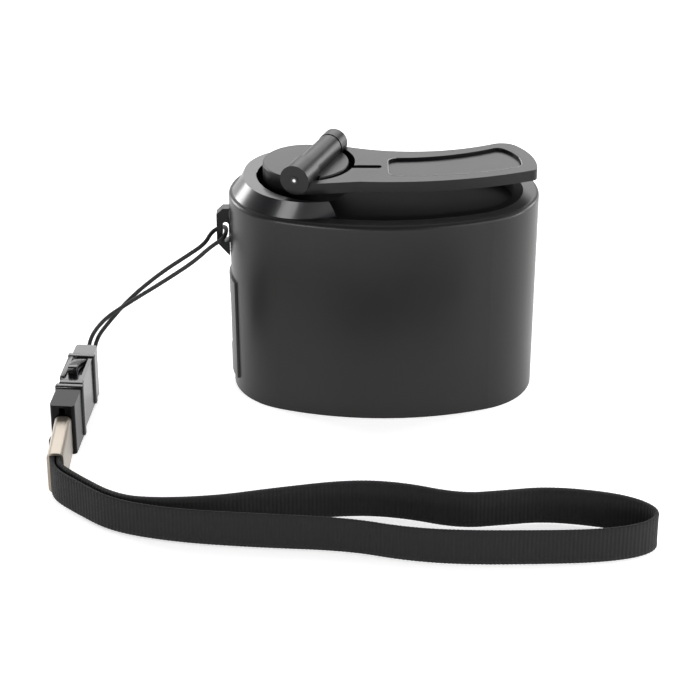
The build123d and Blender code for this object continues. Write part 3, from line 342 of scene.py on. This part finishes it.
CORD_ROUTE = [
    buckle_point(0, -CORD_HALF_PITCH),
    buckle_point(-CORD_LEAD, -CORD_HALF_PITCH),
    (-64.2, -0.8, 9.6),
    (-60.9, -1.4, 14.5),
    (-56.3, -2.0, 18.2),
    (-47.5, -2.6, 24.3),
    (-40.6, -2.9, 29.3),
    (-36.8, -3.1, 33.1),
    (-33.66, -2.8, 35.0),
    (-33.66, 2.8, 35.4),
    (-36.8, 2.4, 34.2),
    (-38.2, -0.6, 32.5),
    (-42.1, -1.1, 29.9),
    (-48.0, -1.2, 25.8),
    (-54.6, -0.8, 19.85),
    (-59.2, -0.3, 14.2),
    (-62.9, -0.4, 9.25),
    buckle_point(-CORD_LEAD, CORD_HALF_PITCH),
    buckle_point(0, CORD_HALF_PITCH),
]
cord = route_curve("lanyard_cord", CORD_ROUTE)
cord.data.bevel_depth = CORD_RADIUS * MM
cord.data.bevel_resolution = 5
cord.data.materials.append(LOOKS["cord_black"])
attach(cord, "housing")
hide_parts("strap_cord")


# ---------------------------------------------------------------- the wrist strap
STRAP_ROUTE = [
    (-66.975, -40.5),
    (-66.975, -46.5),
    (-66.975, -50.0),
    (-66.6, -52.2),
    (-65.2, -54.7),
    (-61.6, -58.0),
    (-54.1, -64.2),
    (-41.8, -68.0),
    (-25.9, -70.0),
    (-7.6, -71.2),
    (3.6, -74.7),
    (15.0, -76.1),
    (30.0, -75.9),
    (42.0, -75.2),
    (50.0, -73.0),
    (52.9, -69.3),
    (50.0, -65.4),
    (43.5, -62.4),
    (31.7, -60.2),
    (22.9, -61.5),
    (14.4, -62.7),
    (2.9, -58.7),
    (-7.6, -57.8),
    (-21.9, -60.5),
    (-33.8, -63.7),
    (-45.8, -64.7),
    (-53.3, -63.0),
    (-60.8, -56.7),
    (-64.0, -53.7),
    (-65.4, -51.7),
    (-65.825, -49.6),
    (-65.825, -46.0),
    (-65.825, -40.5),
]


def points_of(curve_object):
    """The spline's own line as points, read from the curve without any bevel."""
    mesh = bpy.data.meshes.new_from_object(curve_object)
    places = [vertex.co.copy() for vertex in mesh.vertices]
    bpy.data.meshes.remove(mesh)
    return places


def even_steps(places, step):
    """The same line at even steps, with the length walked at each point."""
    result = [(places[0].copy(), 0.0)]
    walked = 0.0
    due = step
    for start, end in zip(places, places[1:]):
        run = (end - start).length
        while walked + run >= due:
            result.append((start.lerp(end, (due - walked) / run), due))
            due += step
        walked += run
    return result, walked


def smooth(value):
    """From 0 to 1 with level ends."""
    value = min(1.0, max(0.0, value))
    return value * value * (3 - 2 * value)


strap_guide = route_curve("strap_guide", [(x, y, 0) for x, y in STRAP_ROUTE])
strap_places, strap_length = even_steps(points_of(strap_guide), TAPE_STEP * MM)
bpy.data.objects.remove(strap_guide)

# Half of the tape's section as shares of its half thickness and half height, then the other half.
SECTION = [(-1, -0.9), (-1, -0.6), (-1, -0.2), (-1, 0.2), (-1, 0.6), (-1, 0.9), (-0.6, 0.99)]
SECTION += [(-side, -up) for side, up in SECTION]


def strap_mesh():
    """The ribbed tape along its guide, standing on its edge, and the line of its centre."""
    verts = []
    faces = []
    maps = []
    path = []
    count = len(SECTION)
    for index, (place, walked) in enumerate(strap_places):
        before = strap_places[max(0, index - 1)][0]
        after = strap_places[min(len(strap_places) - 1, index + 1)][0]
        heading = (after - before).normalized()
        side = Vector((-heading.y, heading.x, 0))
        from_end = min(walked, strap_length - walked)
        settled = smooth((from_end - END_LIFT_FROM * MM) / (END_LIFT_RUN * MM))
        lift = END_LIFT * MM * (1 - settled) + TAPE_FLOOR_GAP * MM
        rib = RIB_DEPTH * MM * sin(2 * pi * walked / (RIB_PITCH * MM))
        free = smooth((from_end - WAVE_FROM * MM) / (WAVE_RUN * MM))
        edge_wave = EDGE_WAVE * MM * sin(walked / (EDGE_WAVE_RUN * MM)) * free
        centre = Vector((place.x, place.y, lift + TAPE_HALF_HEIGHT * MM))
        path.append(centre)
        for across, up in SECTION:
            thick = TAPE_HALF_THICK * MM + rib - RIB_INSET * MM
            thick *= 1.0 if abs(up) > SELVEDGE_FROM else FACE_SHARE
            height = TAPE_HALF_HEIGHT * MM + (edge_wave if up > 0 else 0)
            verts.append(centre + side * across * thick + Vector((0, 0, up * height)))
            maps.append((walked / (MAP_LENGTH * MM), up))
    for index in range(len(strap_places) - 1):
        for corner in range(count):
            nxt = (corner + 1) % count
            first = index * count
            faces.append((first + corner, first + nxt, first + count + nxt, first + count + corner))
    faces.append(tuple(range(count - 1, -1, -1)))
    faces.append(tuple(range(len(verts) - count, len(verts))))
    mesh = bpy.data.meshes.new("strap")
    mesh.from_pydata(verts, [], faces)
    layer = mesh.uv_layers.new(name="tape")
    for loop in mesh.loops:
        layer.data[loop.index].uv = maps[loop.vertex_index]
    mesh.polygons.foreach_set("use_smooth", [True] * len(mesh.polygons))
    mesh.materials.append(LOOKS["webbing_black"])
    return mesh, path


mesh, strap_path = strap_mesh()
strap = bpy.data.objects.new("lanyard_strap", mesh)
scene.collection.objects.link(strap)
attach(strap, "housing")
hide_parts("wrist_strap")


# ---------------------------------------------------------------- raised details on the buckle
def detail(name, low, high, rounding):
    """A rounded block between two corners, given in the buckle's own millimetres."""
    corners = []
    for ahead in (low[0], high[0]):
        for across in (low[1], high[1]):
            for up in (low[2], high[2]):
                corners.append(tuple(buckle_point(ahead, across, up) * MM))
    faces = [(0, 1, 3, 2), (4, 6, 7, 5), (0, 4, 5, 1), (2, 3, 7, 6), (0, 2, 6, 4), (1, 5, 7, 3)]
    made = bpy.data.meshes.new(name)
    made.from_pydata(corners, [], faces)
    made.update()
    held = bpy.data.objects.new(name, made)
    scene.collection.objects.link(held)
    bevel = held.modifiers.new("rounding", "BEVEL")
    bevel.width = rounding * MM
    bevel.segments = 4
    bevel.limit_method = "NONE"
    made.polygons.foreach_set("use_smooth", [True] * len(made.polygons))
    made.materials.append(LOOKS["buckle_black"])
    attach(held, "housing")


# Two corners as ahead, across and up, and the rounding.
DETAILS = {
    "socket_lip": ((4.4, -3.1, -5.6), (5.9, 2.75, 6.0), 0.35),
    "socket_mouth": ((15.9, -2.55, -5.6), (17.6, 2.55, 5.9), 0.3),
    "socket_cheek": ((5.7, -2.95, 1.0), (15.2, -1.55, 6.0), 0.45),
    "plug_ledge": ((18.0, -3.0, -5.65), (19.5, 3.0, 6.1), 0.35),
    "plug_ear": ((25.2, -3.3, -5.4), (26.9, -2.4, -2.6), 0.35),
}
for name, (low, high, rounding) in DETAILS.items():
    detail(name, low, high, rounding)


# Sections of the bowed release arm: ahead, left, right, underside and top.
ARM_SECTIONS = [
    (6.1, -1.4, 1.4, 4.7, 5.7),
    (7.2, -1.4, 1.35, 5.0, 6.1),
    (8.6, -1.4, 1.1, 5.3, 6.5),
    (10.0, -1.45, 0.75, 5.5, 6.85),
    (11.2, -1.45, 0.6, 5.6, 7.1),
    (12.0, -1.45, 0.55, 5.6, 7.3),
    (13.2, -1.45, 0.5, 4.9, 7.3),
    (13.4, -1.4, 0.45, 4.8, 6.9),
]
ARM_ROUNDING = 0.16


def release_arm_cover(name, body):
    """The bowed arm that rises out of its window to the thumb pad."""
    verts = []
    for ahead, left, right, under, top in ARM_SECTIONS:
        for across, up in ((left, under), (right, under), (right, top), (left, top)):
            verts.append(tuple(buckle_point(ahead, across, up) * MM))
    faces = [(0, 1, 2, 3)]
    last = 4 * (len(ARM_SECTIONS) - 1)
    for first in range(0, last, 4):
        for corner in range(4):
            nxt = (corner + 1) % 4
            faces.append((first + corner, first + 4 + corner, first + 4 + nxt, first + nxt))
    faces.append((last + 3, last + 2, last + 1, last))
    made = bpy.data.meshes.new(name)
    made.from_pydata(verts, [], faces)
    made.update()
    made.polygons.foreach_set("use_smooth", [True] * len(made.polygons))
    made.materials.append(LOOKS["buckle_black"])
    held = bpy.data.objects.new(name, made)
    scene.collection.objects.link(held)
    bevel = held.modifiers.new("rounding", "BEVEL")
    bevel.width = ARM_ROUNDING * MM
    bevel.segments = 3
    bevel.limit_method = "ANGLE"
    bevel.angle_limit = radians(40)
    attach(held, body)


release_arm_cover("button_upper", "upper_release")


# ---------------------------------------------------------------- painted highlight on the edge of the thumb pad
def pad_edge():
    """The outline of the pad's sunken floor as one loop, and the height of the arm's top."""
    arm = nodes["crank_arm"]
    flats = [face for face in arm.data.polygons if face.normal.z > 0.99]
    heights = [(arm.matrix_world @ face.center).z for face in flats]
    area_at = {}
    for face, height in zip(flats, heights):
        level = round(height, 5)
        area_at[level] = area_at.get(level, 0) + face.area
    top = max(area_at, key=area_at.get)
    pad_floor = min(area_at, key=lambda level: abs(level - (top - PAD_DEPTH * MM)))
    follow = outer_edges(arm, flats, heights, pad_floor)
    first = max(follow, key=lambda place: place[1])
    loop = [first]
    while follow[loop[-1]] != first:
        loop.append(follow[loop[-1]])
    return loop, top


def outer_edges(arm, flats, heights, level):
    """From each corner to the next, round the faces at one level, without the shared edges."""
    edges = {}
    for face, height in zip(flats, heights):
        if abs(height - level) > LEVEL_TOLERANCE * MM:
            continue
        places = [arm.matrix_world @ arm.data.vertices[corner].co for corner in face.vertices]
        corners = [(round(place.x, 6), round(place.y, 6)) for place in places]
        for start, end in zip(corners, corners[1:] + corners[:1]):
            if (end, start) in edges:
                del edges[(end, start)]
            else:
                edges[(start, end)] = True
    return dict(edges.keys())


def pad_highlight():
    """A thin light grey tube along the front and the ends of the pad, which rides the arm: a painted
    highlight where the pad's edge catches the light.
    """
    loop, top = pad_edge()
    middle = sum(place[1] for place in loop) / len(loop)
    front = [place for place in loop if place[1] < middle + PAD_HIGHLIGHT_REACH * MM]
    curve = bpy.data.curves.new("pad_highlight", "CURVE")
    curve.dimensions = "3D"
    line = curve.splines.new("POLY")
    line.points.add(len(front) - 1)
    for point, place in zip(line.points, front):
        point.co = (place[0], place[1], top - PAD_HIGHLIGHT_SINK * MM, 1)
    curve.bevel_depth = PAD_HIGHLIGHT_RADIUS * MM
    curve.bevel_resolution = 2
    curve.use_fill_caps = True
    # Light grey on a black arm: a painted highlight standing in for the light caught by the pad's edge.
    curve.materials.append(moulded("pad edge painted highlight", (0.34, 0.33, 0.34), 0.4, 0.05))
    held = bpy.data.objects.new("pad_highlight", curve)
    scene.collection.objects.link(held)
    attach(held, "arm")


pad_highlight()


# ---------------------------------------------------------------- floor and light
bpy.ops.mesh.primitive_plane_add(size=FLOOR_SIZE, location=(0, 0, -FLOOR_DROP))
floor = bpy.context.object
floor.name = "floor"
made, tree, shader = material("pale floor")
where = coordinates(tree)
tone = ramp(tree, noise(tree, where, 3, 2), [(0.3, (0.93, 0.93, 0.93)), (0.7, (0.95, 0.95, 0.95))])
tree.links.new(tone, shader.inputs["Base Color"])
shader.inputs["Roughness"].default_value = 0.9
rays = tree.nodes.new("ShaderNodeLightPath")
seen = tree.nodes.new("ShaderNodeMath")
tree.links.new(rays.outputs["Is Camera Ray"], seen.inputs[0])
tree.links.new(rays.outputs["Is Glossy Ray"], seen.inputs[1])
glow = tree.nodes.new("ShaderNodeMath")
tree.links.new(seen.outputs["Value"], glow.inputs[0])
tree.links.new(rays.outputs["Is Transmission Ray"], glow.inputs[1])
lift = tree.nodes.new("ShaderNodeMath")
lift.operation = "MULTIPLY"
lift.inputs[1].default_value = FLOOR_GLOW
tree.links.new(glow.outputs["Value"], lift.inputs[0])
shader.inputs["Emission Color"].default_value = (1, 1, 1, 1)
tree.links.new(lift.outputs["Value"], shader.inputs["Emission Strength"])
floor.data.materials.append(made)

world = bpy.data.worlds.new("studio")
scene.world = world
world.use_nodes = True
sky = world.node_tree
facing = sky.nodes.new("ShaderNodeTexCoord")
parts = sky.nodes.new("ShaderNodeSeparateXYZ")
sky.links.new(facing.outputs["Generated"], parts.inputs["Vector"])
fade = sky.nodes.new("ShaderNodeMapRange")
fade.inputs["From Min"].default_value = -SKY_FADE
fade.inputs["From Max"].default_value = SKY_FADE
fade.inputs["To Min"].default_value = SKY_FRONT
fade.inputs["To Max"].default_value = SKY_BACK
sky.links.new(parts.outputs["Y"], fade.inputs["Value"])
sky.links.new(fade.outputs["Result"], sky.nodes["Background"].inputs["Strength"])
sky.nodes["Background"].inputs["Color"].default_value = (1, 0.99, 1, 1)


def softbox(name, place, aim, size, power):
    """A soft rectangular lamp, in metres and watts."""
    lamp = bpy.data.lights.new(name, "AREA")
    lamp.shape = "RECTANGLE"
    lamp.size = size[0]
    lamp.size_y = size[1]
    lamp.energy = power
    held = bpy.data.objects.new(name, lamp)
    scene.collection.objects.link(held)
    held.location = place
    held.rotation_euler = (Vector(aim) - Vector(place)).to_track_quat("-Z", "Y").to_euler()


SOFTBOXES = {
    "back": ((0.0, 0.95, 0.56), (0, 0, 0.04), (1.3, 0.42), 6.0),
    "left": ((-0.8, 0.5, 0.2), (0, 0, 0.03), (0.3, 0.35), 5.6),
    "right": ((0.8, 0.45, 0.22), (0, 0, 0.03), (0.3, 0.4), 3.5),
    "right_front": ((0.6, -0.5, 0.35), (0.05, -0.07, 0.0), (0.7, 0.5), 3.4),
    "front_low": ((-0.46, -0.72, 0.14), (-0.02, 0, 0.045), (0.40, 0.13), 2.6),
    "right_low": ((0.86, -0.06, 0.15), (-0.02, 0, 0.045), (0.3, 0.16), 2.6),
}
for name, (place, aim, size, power) in SOFTBOXES.items():
    softbox(name, place, aim, size, power)
